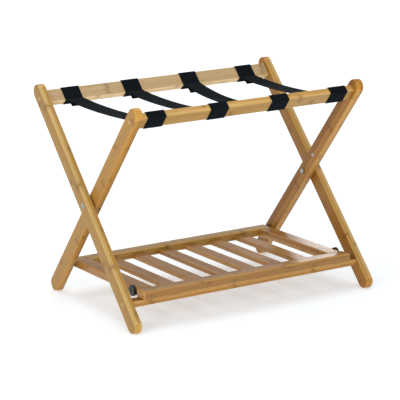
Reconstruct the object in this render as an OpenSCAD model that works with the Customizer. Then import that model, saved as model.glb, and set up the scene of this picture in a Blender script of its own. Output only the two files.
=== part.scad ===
// Folding luggage rack: two crossed leg frames, webbing straps on top and a hinged slatted shelf.
// Frame: X across the rack, front at -Y, Z up. The origin is on the floor, midway between the legs.
// The outer frame has its feet in front, and the inner frame has its feet at the back.

/* [Overall] */
// Width over the outer legs
overall_w = 680; // [560:5:820]
// Height over the round leg heads
overall_h = 530; // [440:5:640]
// Lean of every leg from the vertical
lean = 42; // [36:0.5:45]

/* [Legs] */
// Width of a leg, seen from the side
leg_w = 38; // [31:1:46]
// Thickness of a leg, across the rack
leg_t = 20; // [16:0.5:25]
// Rounding of the legs' long edges
leg_edge = 2.5; // [1:0.25:4]
// Height cut off the round foot, which makes it flat
foot_cut = 0.6; // [0.2:0.1:1.5]
// Gap between an outer leg and the inner leg beside it
leg_gap = 3; // [2:0.5:6]

/* [Rails] */
// Width of the top rails, along the leg
rail_w = 36; // [30:1:44]
// Thickness of the top rails
rail_t = 18; // [14:1:24]
// Distance from the centre of a leg's round head down to the middle of the top rail
rail_drop = 20; // [16:1:34]
// Height of the lower rail that the shelf rests on
low_rail_h = 15; // [14:1:20]
// Depth of the lower rail, front to back
low_rail_d = 30; // [20:1:34]
// Rounding of the rails' long edges
rail_edge = 2; // [1:0.5:4]
// Height of the lower rail's top above the floor
low_rail_top = 68.7; // [60:0.1:90]

/* [Shelf] */
// How far the shelf's front edge stands out past the lower rail
shelf_overhang = 11.1; // [4:0.1:20]
// Distance from the hinge axis to the shelf's back edge
shelf_tail = 16; // [14:1:22]
// Gap between each end of the shelf and the inner leg beside it
shelf_side_gap = 9; // [7:0.5:14]
// Width of the shelf's four frame boards
board_w = 38; // [32:1:46]
// How far each end of the front board stands out past the end boards
front_reach = 6.5; // [0:0.5:7]
// Thickness of the shelf's frame boards
board_t = 21; // [17:0.5:24]
// Rounding of the boards' edges
board_edge = 4; // [1:0.5:6]
// Width of a slat
slat_w = 36; // [28:1:42]
// Thickness of a slat
slat_t = 10; // [8:0.5:13]
// Height of the slats' underside above the boards' underside
slat_lift = 1.5; // [0:0.5:4]
// Rounding of the slats' edges
slat_edge = 2; // [1:0.5:3]
// Height of the hinge axis above the middle of the boards' thickness
hinge_rise = 2; // [0:0.5:2.5]

/* [Straps] */
// Width of the webbing
strap_w = 49; // [38:1:60]
// Thickness of the webbing
strap_t = 1.8; // [1:0.1:3]
// Distance from an inner leg to the nearest edge of a strap
strap_margin = 19; // [6:1:40]
// How far the middle of a strap hangs below its ends
strap_sag = 13; // [5:1:40]

/* [Hardware] */
// Diameter of the pivot bolts' shanks
pivot_d = 8; // [6:0.5:10]
// Diameter of the pivot bolts' heads
pivot_head_d = 14; // [12:0.5:18]
// Height of the pivot bolts' heads
pivot_head_h = 4; // [3:0.5:6]
// Outer diameter of the washers between the legs
washer_d = 24; // [18:1:30]
// Diameter of the pivot nuts
nut_d = 13; // [12:0.5:16]
// Height of the pivot nuts
nut_h = 4.5; // [3:0.5:6]
// Diameter of the shelf hinge pins
hinge_d = 6; // [5:0.5:8]
// Wood left between a hinge pin's end and the outside of the leg
hinge_wall = 6; // [3:0.5:8]
// Diameter of the spacers between shelf and inner legs
spacer_d = 18; // [14:1:22]
// Diameter of the threaded inserts in the shelf
insert_d = 10; // [8:0.5:11]
// Length of the threaded inserts
insert_l = 18; // [12:1:26]
// Diameter of the round catches on the shelf's ends
catch_d = 27; // [22:1:34]
// How far the catches' middle sits below the hinge axis
catch_drop = 1.5; // [0:0.5:3]
// Gap between a catch and the screw head that it passes
catch_gap = 0.6; // [0.4:0.1:1.5]
// Distance from the front board's back edge to the catches' middle
catch_inset = 23.6; // [18:0.2:40]
// Diameter of the screw heads that the catches meet on the inner legs
keeper_d = 9; // [7:0.5:12]
// Diameter of the rail screws' shanks
screw_d = 5; // [4:0.5:6]
// Diameter of the rail screws' heads and of the plugs over them
plug_d = 10; // [8:0.5:12]
// Diameter of the wooden dowels in the frames
dowel_d = 8; // [6:0.5:9]
// Diameter of the dowels that hold the slats
slat_dowel_d = 6; // [5:0.5:7]

/* [Fit] */
// Radial clearance of a turning shank in its hole
turn_clearance = 0.05; // [0.02:0.01:0.1]
// Radial clearance of a pin or dowel that is glued or screwed in
glue_clearance = 0.03; // [0.01:0.01:0.1]
// Gap between faces that move past each other
slide_gap = 0.3; // [0.3:0.1:1]
// Gap between the webbing and the rail inside it
wrap_gap = 0.25; // [0.2:0.05:0.6]

/* [Hidden] */
$fn = 48;
round_fn = 64;

// Numbers of slats and straps
slat_n = 6;
strap_n = 4;

// Legs and their planes
leg_r = leg_w / 2;
foot_z = leg_r - foot_cut;
head_z = overall_h - leg_r;
pivot_z = (foot_z + head_z) / 2;
half_leg = (head_z - foot_z) / 2 / cos(lean);
outer_x = overall_w / 2 - leg_t;
inner_x = outer_x - leg_gap - leg_t;

// Rails, as distances along a leg from the pivot
rail_at = half_leg - rail_drop;
low_rail_at = -(pivot_z - low_rail_top + low_rail_h / 2) / cos(lean);
low_rail_front = low_rail_at * sin(lean) - low_rail_d / 2;

// Shelf
shelf_z = low_rail_top + slide_gap;
hinge_z = shelf_z + board_t / 2 + hinge_rise;
hinge_at = -(pivot_z - hinge_z) / cos(lean);
hinge_y = -hinge_at * sin(lean);
shelf_half = inner_x - shelf_side_gap;
shelf_front = low_rail_front - shelf_overhang;
shelf_back = hinge_y + shelf_tail;
inner_front = shelf_front + board_w;
inner_back = shelf_back - board_w;
inner_half = shelf_half - board_w;
slat_gap = (2 * inner_half - slat_n * slat_w) / (slat_n + 1);
slat_z = shelf_z + slat_lift;
catch_y = inner_front + catch_inset;
catch_z = hinge_z - catch_drop;
keeper_at = hinge_at + hinge_y - catch_y;

// Fasteners
plug_t = 4;
screw_head_h = 4;
screw_bite = 32;
dowel_side = 9;
dowel_wall = 1;
dowel_in_leg = leg_t - plug_t - screw_head_h - dowel_wall;
dowel_l = 24;
dowel_edge = 6;
low_screw_side = low_rail_d / 2 - dowel_edge - dowel_side;
corner_dowel_in = 28;
slat_dowel_in = 26;
washer_t = leg_gap - slide_gap;
pivot_in_nut = 3;
spacer_t = shelf_side_gap - slide_gap;
insert_floor = 4;
hinge_in_insert = insert_l - insert_floor;
hinge_floor_x = -inner_x - leg_t + hinge_wall;
catch_edge = 1.5;
catch_screw_d = 4;
catch_screw_head_d = 8;
catch_screw_head_h = 2.5;
catch_screw_l = 22;
keeper_head_h = 0.9;
catch_t = shelf_side_gap - keeper_head_h - catch_gap;
keeper_shank_d = 3.5;
keeper_wall = 6;
keeper_l = leg_t - keeper_wall;
head_chamfer = 0.7;
slot_w = 1.2;
slot_depth = 0.8;
hex_key = 5;
hex_depth = 2;

// Webbing: where the span leaves the rails, and the half thickness of each wrap
wrap_y = rail_t / 2 + wrap_gap;
wrap_z = rail_w / 2 + wrap_gap;
span_side = -(wrap_y + strap_t);
span_inset = 1;
span_along = rail_at - rail_w / 2 + span_inset;
span_y = span_side * cos(lean) + span_along * sin(lean);
span_z = pivot_z - span_side * sin(lean) + span_along * cos(lean);
span_gap = 1.6;
span_steps = 20;
strap_pitch = (2 * (inner_x - strap_margin) - strap_w) / (strap_n - 1);

bamboo = "#c79c5c";
bamboo_dark = "#b88c4c";
steel = "#a8abad";
webbing = "#202326";
black_plastic = "#1b1b1c";
black_steel = "#26282a";

// Places the children in a leg's own frame: Z up along the leg from the pivot, Y across it
module on_outer() translate([0, 0, pivot_z]) rotate([-lean, 0, 0]) children();
module on_inner() translate([0, 0, pivot_z]) rotate([lean, 0, 0]) children();

// Puts one copy at each side of the rack, the right one mirrored
module both_sides() {
    children();
    mirror([1, 0, 0]) children();
}

// A rod along X from x_from to x_to
module rod_x(d, x_from, x_to) {
    translate([x_from, 0, 0]) rotate([0, 90, 0]) cylinder(d = d, h = x_to - x_from);
}

// A round head along X: full width at x_seat, with a chamfered rim at its face
module head_x(d, x_seat, x_face) {
    way = sign(x_face - x_seat);
    x_rim = x_face - way * head_chamfer;
    rod_x(d, min(x_seat, x_rim), max(x_seat, x_rim));
    translate([x_rim, 0, 0]) rotate([0, way * 90, 0])
        cylinder(d1 = d, d2 = d - 2 * head_chamfer, h = head_chamfer);
}

// A rod along Y from y_from to y_to
module rod_y(d, y_from, y_to) {
    translate([0, y_from, 0]) rotate([-90, 0, 0]) cylinder(d = d, h = y_to - y_from);
}

// A rectangle about the origin with round corners
module round_rect(w, h, r) {
    square([w - 2 * r, h], center = true);
    square([w, h - 2 * r], center = true);
    for (sx = [-1, 1], sy = [-1, 1])
        translate([sx * (w / 2 - r), sy * (h / 2 - r)]) circle(r = r);
}

// A bar along X, centred, with long edges rounded; y and z are its section
module round_bar_x(length, y, z, r) {
    rotate([90, 0, 90]) linear_extrude(height = length, center = true) round_rect(y, z, r);
}

// A bar along X with its long edges and the edges of both ends rounded
module round_board_x(length, y, z, r) {
    intersection() {
        round_bar_x(length, y, z, r);
        linear_extrude(height = z, center = true) round_rect(length, y, r);
        round_bar_y(y, length, z, r);
    }
}

// A bar along Y, centred, with long edges rounded; x and z are its section
module round_bar_y(length, x, z, r) {
    rotate([90, 0, 0]) linear_extrude(height = length, center = true) round_rect(x, z, r);
}

// The round end of a leg: a disc about X with its rims rounded
module leg_end() {
    rotate([0, 90, 0]) rotate_extrude($fn = round_fn) {
        translate([0, -leg_t / 2 + leg_edge]) square([leg_r, leg_t - 2 * leg_edge]);
        translate([0, -leg_t / 2]) square([leg_r - leg_edge, leg_t]);
        for (s = [-1, 1])
            translate([leg_r - leg_edge, s * (leg_t / 2 - leg_edge)]) circle(r = leg_edge);
    }
}

// A leg blank in its own frame with its middle at x = 0
module leg_blank() {
    linear_extrude(height = 2 * half_leg, center = true) round_rect(leg_t, leg_w, leg_edge);
    for (s = [-1, 1]) translate([0, 0, s * half_leg]) leg_end();
}

// Removes what would be below the floor
module above_floor() {
    difference() {
        children();
        translate([-overall_w, -overall_w, -leg_w]) cube([2 * overall_w, 2 * overall_w, leg_w]);
    }
}

// The holes that one rail end needs in the leg's outer face: plug seat, screw hole and dowel hole
// x_out is the leg's outer face; the frame is the leg's own, at the rail's middle
module rail_end_holes(x_out, dowel_dir) {
    rod_x(plug_d, x_out - 1, x_out + plug_t + screw_head_h);
    rod_x(screw_d, x_out - 1, x_out + leg_t + 1);
    translate(dowel_dir * dowel_side)
        rod_x(dowel_d, x_out + leg_t - dowel_in_leg - glue_clearance, x_out + leg_t + 1);
}

// The matching holes in the rail's left end; x_end is the rail's end face
module rail_holes(x_end, dowel_dir) {
    rod_x(screw_d, x_end - 1, x_end + screw_bite - leg_t + plug_t + screw_head_h);
    translate(dowel_dir * dowel_side)
        rod_x(dowel_d, x_end - 1, x_end + dowel_l - dowel_in_leg + glue_clearance);
}

// ---------------------------------------------------------------- outer frame

// Centre of the lower rail in the outer leg's frame, turned level with the floor
module at_low_rail() translate([0, 0, low_rail_at]) rotate([lean, 0, 0]) children();

// The lower rail's screw axis: screw and dowel share the rail's depth between them
module at_low_screw() at_low_rail() translate([0, low_screw_side, 0]) children();

module outer_leg() {
    above_floor() on_outer() difference() {
        translate([-(outer_x + leg_t / 2), 0, 0]) leg_blank();
        rod_x(pivot_d + 2 * glue_clearance, -overall_w, 0);
        rod_x(pivot_head_d + 2 * glue_clearance, -overall_w, -overall_w / 2 + pivot_head_h);
        translate([0, 0, rail_at]) rail_end_holes(-overall_w / 2, [0, 0, 1]);
        at_low_screw() rail_end_holes(-overall_w / 2, [0, 1, 0]);
    }
}

module outer_leg_left() color(bamboo) outer_leg();
module outer_leg_right() color(bamboo) mirror([1, 0, 0]) outer_leg();

module rear_top_rail() {
    color(bamboo) on_outer() translate([0, 0, rail_at]) difference() {
        round_bar_x(2 * outer_x, rail_t, rail_w, rail_edge);
        both_sides() rail_holes(-outer_x, [0, 0, 1]);
    }
}

module lower_front_rail() {
    color(bamboo) on_outer() at_low_rail() difference() {
        round_bar_x(2 * outer_x, low_rail_d, low_rail_h, rail_edge);
        both_sides() translate([0, low_screw_side, 0]) rail_holes(-outer_x, [0, 1, 0]);
    }
}

// ---------------------------------------------------------------- inner frame

module inner_leg() {
    above_floor() on_inner() difference() {
        translate([-(inner_x + leg_t / 2), 0, 0]) leg_blank();
        rod_x(pivot_d + 2 * turn_clearance, -overall_w, 0);
        translate([0, 0, rail_at]) rail_end_holes(-inner_x - leg_t, [0, 0, 1]);
        translate([0, 0, hinge_at]) rod_x(hinge_d + 2 * turn_clearance, hinge_floor_x, 0);
        translate([0, 0, keeper_at]) rod_x(keeper_shank_d, -inner_x - keeper_l, 0);
    }
}

module inner_leg_left() color(bamboo_dark) inner_leg();
module inner_leg_right() color(bamboo_dark) mirror([1, 0, 0]) inner_leg();

module front_top_rail() {
    color(bamboo) on_inner() translate([0, 0, rail_at]) difference() {
        round_bar_x(2 * inner_x, rail_t, rail_w, rail_edge);
        both_sides() rail_holes(-inner_x, [0, 0, 1]);
    }
}

// ---------------------------------------------------------------- rail fasteners

// One rail screw; x_out is the outer face of the leg it goes through
module rail_screw(x_out) {
    x_face = x_out + plug_t;
    rod_x(plug_d - 2 * glue_clearance, x_face, x_face + screw_head_h);
    rod_x(screw_d - 2 * glue_clearance, x_face, x_face + screw_bite);
}

module rail_plug(x_out) rod_x(plug_d - 2 * glue_clearance, x_out, x_out + plug_t);

module rail_dowel(x_in) {
    rod_x(dowel_d - 2 * glue_clearance, x_in - dowel_in_leg, x_in + dowel_l - dowel_in_leg);
}

module outer_rail_screws() {
    color(steel) both_sides() on_outer() {
        translate([0, 0, rail_at]) rail_screw(-overall_w / 2);
        at_low_screw() rail_screw(-overall_w / 2);
    }
}

module inner_rail_screws() {
    color(steel) both_sides() on_inner() translate([0, 0, rail_at]) rail_screw(-inner_x - leg_t);
}

module outer_rail_dowels() {
    color(bamboo) both_sides() on_outer() {
        translate([0, 0, rail_at + dowel_side]) rail_dowel(-outer_x);
        at_low_screw() translate([0, dowel_side, 0]) rail_dowel(-outer_x);
    }
}

module inner_rail_dowels() {
    color(bamboo) both_sides() on_inner() translate([0, 0, rail_at + dowel_side]) rail_dowel(-inner_x);
}

module outer_leg_plugs() {
    color(bamboo) both_sides() on_outer() {
        translate([0, 0, rail_at]) rail_plug(-overall_w / 2);
        at_low_screw() rail_plug(-overall_w / 2);
    }
}

module inner_leg_plugs() {
    color(bamboo) both_sides() on_inner() translate([0, 0, rail_at]) rail_plug(-inner_x - leg_t);
}

// ---------------------------------------------------------------- main pivots

// Left pivot bolt: flush head in the outer leg, shank through both legs
module pivot_bolt() {
    x_face = -overall_w / 2;
    on_outer() difference() {
        union() {
            head_x(pivot_head_d, x_face + pivot_head_h, x_face);
            rod_x(pivot_d, x_face + head_chamfer, -inner_x + slide_gap + pivot_in_nut);
        }
        rotate([90, 0, 90]) translate([0, 0, x_face - 1])
            cylinder(d = hex_key / cos(30), h = hex_depth + 1, $fn = 6);
    }
}

module pivot_washer() {
    on_outer() difference() {
        rod_x(washer_d, -outer_x, -outer_x + washer_t);
        rod_x(pivot_d + 2 * glue_clearance, -outer_x - 1, -outer_x + washer_t + 1);
    }
}

// Round cap nut, blind, with a screwdriver slot across its face
module pivot_nut() {
    x_from = -inner_x + slide_gap;
    on_outer() difference() {
        head_x(nut_d, x_from, x_from + nut_h);
        rod_x(pivot_d + 2 * glue_clearance, x_from - 1, x_from + pivot_in_nut + glue_clearance);
        translate([x_from + nut_h - slot_depth, -slot_w / 2, -nut_d])
            cube([slot_depth + 1, slot_w, 2 * nut_d]);
    }
}

module pivot_bolt_left() color(steel) pivot_bolt();
module pivot_bolt_right() color(steel) mirror([1, 0, 0]) pivot_bolt();
module pivot_washer_left() color(black_plastic) pivot_washer();
module pivot_washer_right() color(black_plastic) mirror([1, 0, 0]) pivot_washer();
module pivot_nut_left() color(steel) pivot_nut();
module pivot_nut_right() color(steel) mirror([1, 0, 0]) pivot_nut();

// ---------------------------------------------------------------- shelf

// Heights of the dowels that hold the boards and the slats
board_mid = shelf_z + board_t / 2;
slat_mid = slat_z + slat_t / 2;

// The middle of slat i across the rack, counted from the left
function slat_x(i) = -inner_half + slat_gap + slat_w / 2 + i * (slat_w + slat_gap);

// Corner dowels, seen from above at the left end of the front board
module corner_dowels(d, y_from, y_to) {
    translate([-shelf_half + board_w / 2, 0, board_mid]) rod_y(d, y_from, y_to);
}

module slat_dowels(d, y_from, y_to) {
    for (i = [0 : slat_n - 1]) translate([slat_x(i), 0, slat_mid]) rod_y(d, y_from, y_to);
}

module shelf_front_board() {
    color(bamboo) difference() {
        translate([0, shelf_front + board_w / 2, board_mid])
            round_board_x(2 * (shelf_half + front_reach), board_w, board_t, board_edge);
        both_sides() corner_dowels(dowel_d, inner_front - corner_dowel_in / 2, inner_front + 1);
        slat_dowels(slat_dowel_d, inner_front - slat_dowel_in, inner_front + 1);
    }
}

module shelf_back_board() {
    color(bamboo) difference() {
        translate([0, shelf_back - board_w / 2, board_mid])
            round_board_x(2 * shelf_half, board_w, board_t, board_edge);
        both_sides() {
            corner_dowels(dowel_d, inner_back - 1, inner_back + corner_dowel_in / 2 - dowel_side);
            translate([0, hinge_y, hinge_z]) rod_x(insert_d, -shelf_half - 1, -shelf_half + insert_l);
        }
        slat_dowels(slat_dowel_d, inner_back - 1, inner_back + slat_dowel_in);
    }
}

module shelf_end_board() {
    difference() {
        translate([-shelf_half + board_w / 2, (inner_front + inner_back) / 2, board_mid])
            round_bar_y(inner_back - inner_front, board_w, board_t, board_edge);
        corner_dowels(dowel_d, inner_front - 1, inner_front + corner_dowel_in / 2);
        corner_dowels(dowel_d, inner_back - corner_dowel_in / 2, inner_back + 1);
        translate([0, catch_y, catch_z])
            rod_x(catch_screw_d, -shelf_half - 1, -shelf_half + catch_screw_l - catch_t);
    }
}

module shelf_end_board_left() color(bamboo) shelf_end_board();
module shelf_end_board_right() color(bamboo) mirror([1, 0, 0]) shelf_end_board();

module shelf_slat(i) {
    color(bamboo_dark) difference() {
        translate([slat_x(i), (inner_front + inner_back) / 2, slat_mid])
            round_bar_y(inner_back - inner_front, slat_w, slat_t, slat_edge);
        slat_dowels(slat_dowel_d, inner_front - 1, inner_front + slat_dowel_in);
        slat_dowels(slat_dowel_d, inner_back - slat_dowel_in, inner_back + 1);
    }
}

module shelf_slat_1() shelf_slat(0);
module shelf_slat_2() shelf_slat(1);
module shelf_slat_3() shelf_slat(2);
module shelf_slat_4() shelf_slat(3);
module shelf_slat_5() shelf_slat(4);
module shelf_slat_6() shelf_slat(5);

module shelf_corner_dowels() {
    half = corner_dowel_in / 2 - glue_clearance;
    color(bamboo) both_sides() {
        corner_dowels(dowel_d - 2 * glue_clearance, inner_front - half, inner_front + half);
        corner_dowels(dowel_d - 2 * glue_clearance, inner_back - half, inner_back + half - dowel_side);
    }
}

module shelf_slat_dowels() {
    end = slat_dowel_in - glue_clearance;
    color(bamboo) {
        slat_dowels(slat_dowel_d - 2 * glue_clearance, inner_front - end, inner_front + end);
        slat_dowels(slat_dowel_d - 2 * glue_clearance, inner_back - end, inner_back + end);
    }
}

// ---------------------------------------------------------------- shelf hinges and catches

// Left hinge pin: turns in a blind hole in the inner leg and is fixed in the shelf's insert
module shelf_hinge_pin() {
    translate([0, hinge_y, hinge_z]) {
        head_x(hinge_d, -shelf_half, hinge_floor_x + slide_gap);
        head_x(hinge_d, -shelf_half, -shelf_half + hinge_in_insert);
    }
}

module shelf_hinge_pin_left() color(steel) shelf_hinge_pin();
module shelf_hinge_pin_right() color(steel) mirror([1, 0, 0]) shelf_hinge_pin();

module shelf_hinge_spacer() {
    translate([0, hinge_y, hinge_z]) difference() {
        rod_x(spacer_d, -shelf_half - spacer_t, -shelf_half);
        rod_x(hinge_d + 2 * glue_clearance, -shelf_half - spacer_t - 1, -shelf_half + 1);
    }
}

module shelf_hinge_spacer_left() color(black_plastic) shelf_hinge_spacer();
module shelf_hinge_spacer_right() color(black_plastic) mirror([1, 0, 0]) shelf_hinge_spacer();

module shelf_hinge_inserts() {
    color(steel) both_sides() translate([0, hinge_y, hinge_z]) difference() {
        rod_x(insert_d - 2 * glue_clearance, -shelf_half, -shelf_half + insert_l - glue_clearance);
        rod_x(hinge_d + 2 * glue_clearance, -shelf_half - 1, -shelf_half + hinge_in_insert + glue_clearance);
    }
}

// Round catch on the shelf's left end, with a sunk screw in its middle
module shelf_catch() {
    translate([-shelf_half, catch_y, catch_z]) rotate([0, -90, 0]) difference() {
        rotate_extrude($fn = round_fn) {
            square([catch_d / 2, catch_t - catch_edge]);
            square([catch_d / 2 - catch_edge, catch_t]);
            translate([catch_d / 2 - catch_edge, catch_t - catch_edge]) circle(r = catch_edge);
        }
        translate([0, 0, -1]) cylinder(d = catch_screw_d + 2 * glue_clearance, h = catch_t + 2);
        translate([0, 0, catch_t - catch_screw_head_h])
            cylinder(d = catch_screw_head_d + 2 * glue_clearance, h = catch_screw_head_h + 1);
    }
}

module shelf_catch_left() color(black_plastic) shelf_catch();
module shelf_catch_right() color(black_plastic) mirror([1, 0, 0]) shelf_catch();

module shelf_catch_screws() {
    x_face = -shelf_half - catch_t;
    color(black_steel) both_sides() translate([0, catch_y, catch_z]) difference() {
        union() {
            head_x(catch_screw_head_d, x_face + catch_screw_head_h, x_face);
            rod_x(catch_screw_d - 2 * glue_clearance,
                  x_face + head_chamfer, x_face + catch_screw_l - glue_clearance);
        }
        translate([x_face - 1, -slot_w / 2, -catch_screw_head_d])
            cube([slot_depth + 1, slot_w, 2 * catch_screw_head_d]);
    }
}

// Flat-headed screw in the inner leg that the catch meets when the shelf is folded up
module catch_keeper() {
    on_inner() translate([0, 0, keeper_at]) {
        head_x(keeper_d, -inner_x, -inner_x + keeper_head_h);
        rod_x(keeper_shank_d - 2 * glue_clearance, -inner_x - keeper_l + glue_clearance, -inner_x);
    }
}

module catch_keeper_left() color(steel) catch_keeper();
module catch_keeper_right() color(steel) mirror([1, 0, 0]) catch_keeper();

// ---------------------------------------------------------------- straps

// The middle of strap i across the rack, counted from the left
function strap_x(i) = (i - (strap_n - 1) / 2) * strap_pitch;

// A webbing loop round a rail, in the leg's frame
module strap_loop(i) {
    translate([strap_x(i), 0, rail_at]) rotate([90, 0, 90]) linear_extrude(height = strap_w, center = true) {
        difference() {
            round_rect(2 * (wrap_y + strap_t), 2 * (wrap_z + strap_t), rail_edge + strap_t);
            round_rect(2 * wrap_y, 2 * wrap_z, rail_edge);
        }
    }
}

// Height of the span's middle line at distance y from the rack's middle
function span_line(y) = span_z - strap_sag * (1 - pow(y / span_y, 2));

// The stretch of webbing between the two loops, as a sagging band
module strap_span(i) {
    ys = [for (k = [0 : span_steps]) (span_y - span_gap) * (2 * k / span_steps - 1)];
    upper = [for (y = ys) [y, span_line(y) + strap_t / 2]];
    lower = [for (k = [span_steps : -1 : 0]) [ys[k], span_line(ys[k]) - strap_t / 2]];
    translate([strap_x(i), 0, 0]) rotate([90, 0, 90])
        linear_extrude(height = strap_w, center = true) polygon(concat(upper, lower));
}

module strap_rear_loop(i) color(webbing) on_outer() strap_loop(i);
module strap_front_loop(i) color(webbing) on_inner() strap_loop(i);

module strap_1_rear_loop() strap_rear_loop(0);
module strap_2_rear_loop() strap_rear_loop(1);
module strap_3_rear_loop() strap_rear_loop(2);
module strap_4_rear_loop() strap_rear_loop(3);
module strap_1_front_loop() strap_front_loop(0);
module strap_2_front_loop() strap_front_loop(1);
module strap_3_front_loop() strap_front_loop(2);
module strap_4_front_loop() strap_front_loop(3);
module strap_1_span() color(webbing) strap_span(0);
module strap_2_span() color(webbing) strap_span(1);
module strap_3_span() color(webbing) strap_span(2);
module strap_4_span() color(webbing) strap_span(3);

outer_leg_left();
outer_leg_right();
rear_top_rail();
lower_front_rail();
inner_leg_left();
inner_leg_right();
front_top_rail();
outer_rail_screws();
inner_rail_screws();
outer_rail_dowels();
inner_rail_dowels();
outer_leg_plugs();
inner_leg_plugs();
pivot_bolt_left();
pivot_bolt_right();
pivot_washer_left();
pivot_washer_right();
pivot_nut_left();
pivot_nut_right();
shelf_front_board();
shelf_back_board();
shelf_end_board_left();
shelf_end_board_right();
shelf_slat_1();
shelf_slat_2();
shelf_slat_3();
shelf_slat_4();
shelf_slat_5();
shelf_slat_6();
shelf_corner_dowels();
shelf_slat_dowels();
shelf_hinge_pin_left();
shelf_hinge_pin_right();
shelf_hinge_spacer_left();
shelf_hinge_spacer_right();
shelf_hinge_inserts();
shelf_catch_left();
shelf_catch_right();
shelf_catch_screws();
catch_keeper_left();
catch_keeper_right();
strap_1_rear_loop();
strap_1_front_loop();
strap_1_span();
strap_2_rear_loop();
strap_2_front_loop();
strap_2_span();
strap_3_rear_loop();
strap_3_front_loop();
strap_3_span();
strap_4_rear_loop();
strap_4_front_loop();
strap_4_span();
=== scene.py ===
# %% [markdown]
# # A folding luggage rack
#
# The rack is two crossed leg frames of laminated bamboo, four straps of black webbing across their
# tops, and a slatted shelf hinged between the inner legs. The wooden and metal parts come in as a
# fixed frame with true shapes. This lesson gives them their bamboo, steel and nylon, and weaves
# the straps, which are the only soft pieces. Everything is in metres, with +Z up.

# %% Load the frame
import math

import bpy
import numpy as np
from mathutils import Matrix, Vector


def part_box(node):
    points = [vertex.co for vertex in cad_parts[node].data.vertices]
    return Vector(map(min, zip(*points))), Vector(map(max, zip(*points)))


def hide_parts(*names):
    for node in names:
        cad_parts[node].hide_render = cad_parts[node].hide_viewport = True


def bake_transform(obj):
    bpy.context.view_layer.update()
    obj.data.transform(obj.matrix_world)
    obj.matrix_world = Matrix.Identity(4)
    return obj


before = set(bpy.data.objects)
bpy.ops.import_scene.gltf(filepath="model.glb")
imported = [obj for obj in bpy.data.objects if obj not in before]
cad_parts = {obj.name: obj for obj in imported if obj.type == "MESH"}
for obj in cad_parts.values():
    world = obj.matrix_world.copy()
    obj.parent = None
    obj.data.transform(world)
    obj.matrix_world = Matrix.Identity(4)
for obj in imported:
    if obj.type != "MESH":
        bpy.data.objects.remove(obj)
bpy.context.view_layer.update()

# %% [markdown]
# ## Shared helpers
#
# Colours are given as hex values, which are sRGB, while a shader wants linear light. One
# function does that. A second one adds any shader node with its settings and links, and hands
# back its outputs, so a material reads as a list of steps. Sockets that share a name are picked by
# number: a Map Range node's 1 to 4 are from min, from max, to min and to max.


# %% Colour and node helpers
def linear(hex_colour):
    """Linear RGBA of an sRGB hex colour: each channel is undone by the sRGB power curve."""
    channels = [int(hex_colour[i:i + 2], 16) / 255 for i in (1, 3, 5)]
    return [c / 12.92 if c <= 0.04045 else ((c + 0.055) / 1.055) ** 2.4 for c in channels] + [1.0]


def add(tree, kind, inputs=None, **settings):
    """Adds a shader node, sets it up, links or fills its inputs, and returns its outputs."""
    node = tree.nodes.new("ShaderNode" + kind)
    for key, value in settings.items():
        setattr(node, key, value)
    for key, value in (inputs or {}).items():
        if isinstance(value, bpy.types.NodeSocket):
            tree.links.new(value, node.inputs[key])
        else:
            node.inputs[key].default_value = value
    return node.outputs


def new_material(name):
    """An empty node material and its tree, with only the output node in it."""
    material = bpy.data.materials.new(name)
    material.use_nodes = True
    tree = material.node_tree
    tree.nodes.clear()
    return material, tree, tree.nodes.new("ShaderNodeOutputMaterial")


MIX_A, MIX_B, MIX_OUT = 6, 7, 2  # a colour Mix node's own sockets, by number
MM = 0.001
print("white in linear light", linear("#ffffff"))

# %% [markdown]
# ## Laminated bamboo
#
# Bamboo lumber is glued up from split strips about 19 mm wide, two layers thick in a leg. The eye
# sees long, thin fibres, strips of slightly different tone, a fine glue line between them, and
# across each strip, every 20 cm or so, the brown mark of the stem's joint. Over it lies a satin
# lacquer, which turns pale where it is looked at along the surface.
#
# An image of wood could be wrapped round each piece, but it would stretch and repeat. The pattern
# is built from the piece's own coordinates instead: a Mapping node turns them so that one axis
# runs along the fibres, one across the layers and one across the strips, all in millimetres.

# %% The bamboo's measurements
STRIP_W = 19.0        # mm, width of one bamboo strip
GLUE_W = 0.45         # mm, half width of a glue line, drawn twice as wide as the real one to show
JOINT_EVERY = 230.0   # mm between two joints of the stem along one strip
JOINT_SHIFT = 1.7     # how many of those lengths the strips are shifted by chance
JOINT_BEND = 9.0      # mm that a joint's line wanders across its strip
JOINT_HALF = 2.6      # mm, half width of the dark line at a joint
JOINT_FADE = 15.0     # mm, how far the tinted zone beside a joint reaches
FIBRE_MM = (1.1, 1.1, 75.0)    # mm, size of a fibre streak across, across and along
CLOUD_MM = (9.0, 14.0, 160.0)  # mm, size of the softer light and dark areas


# %% The bamboo's own space
def bamboo_space(tree, node_name, thin, wide):
    """A piece's own space in millimetres: X runs across its layers, Y across its strips and Z
    along its fibres. The middle of the piece's box is at zero."""
    turn = Matrix([thin, wide, thin.cross(wide)])
    low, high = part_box(node_name)
    centre = (low + high) / 2
    coords = add(tree, "TexCoord")["Object"]
    return add(tree, "Mapping", {
        "Vector": coords, "Scale": (1 / MM,) * 3, "Rotation": turn.to_euler("XYZ"),
        "Location": -(turn @ centre) / MM})[0]


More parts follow.
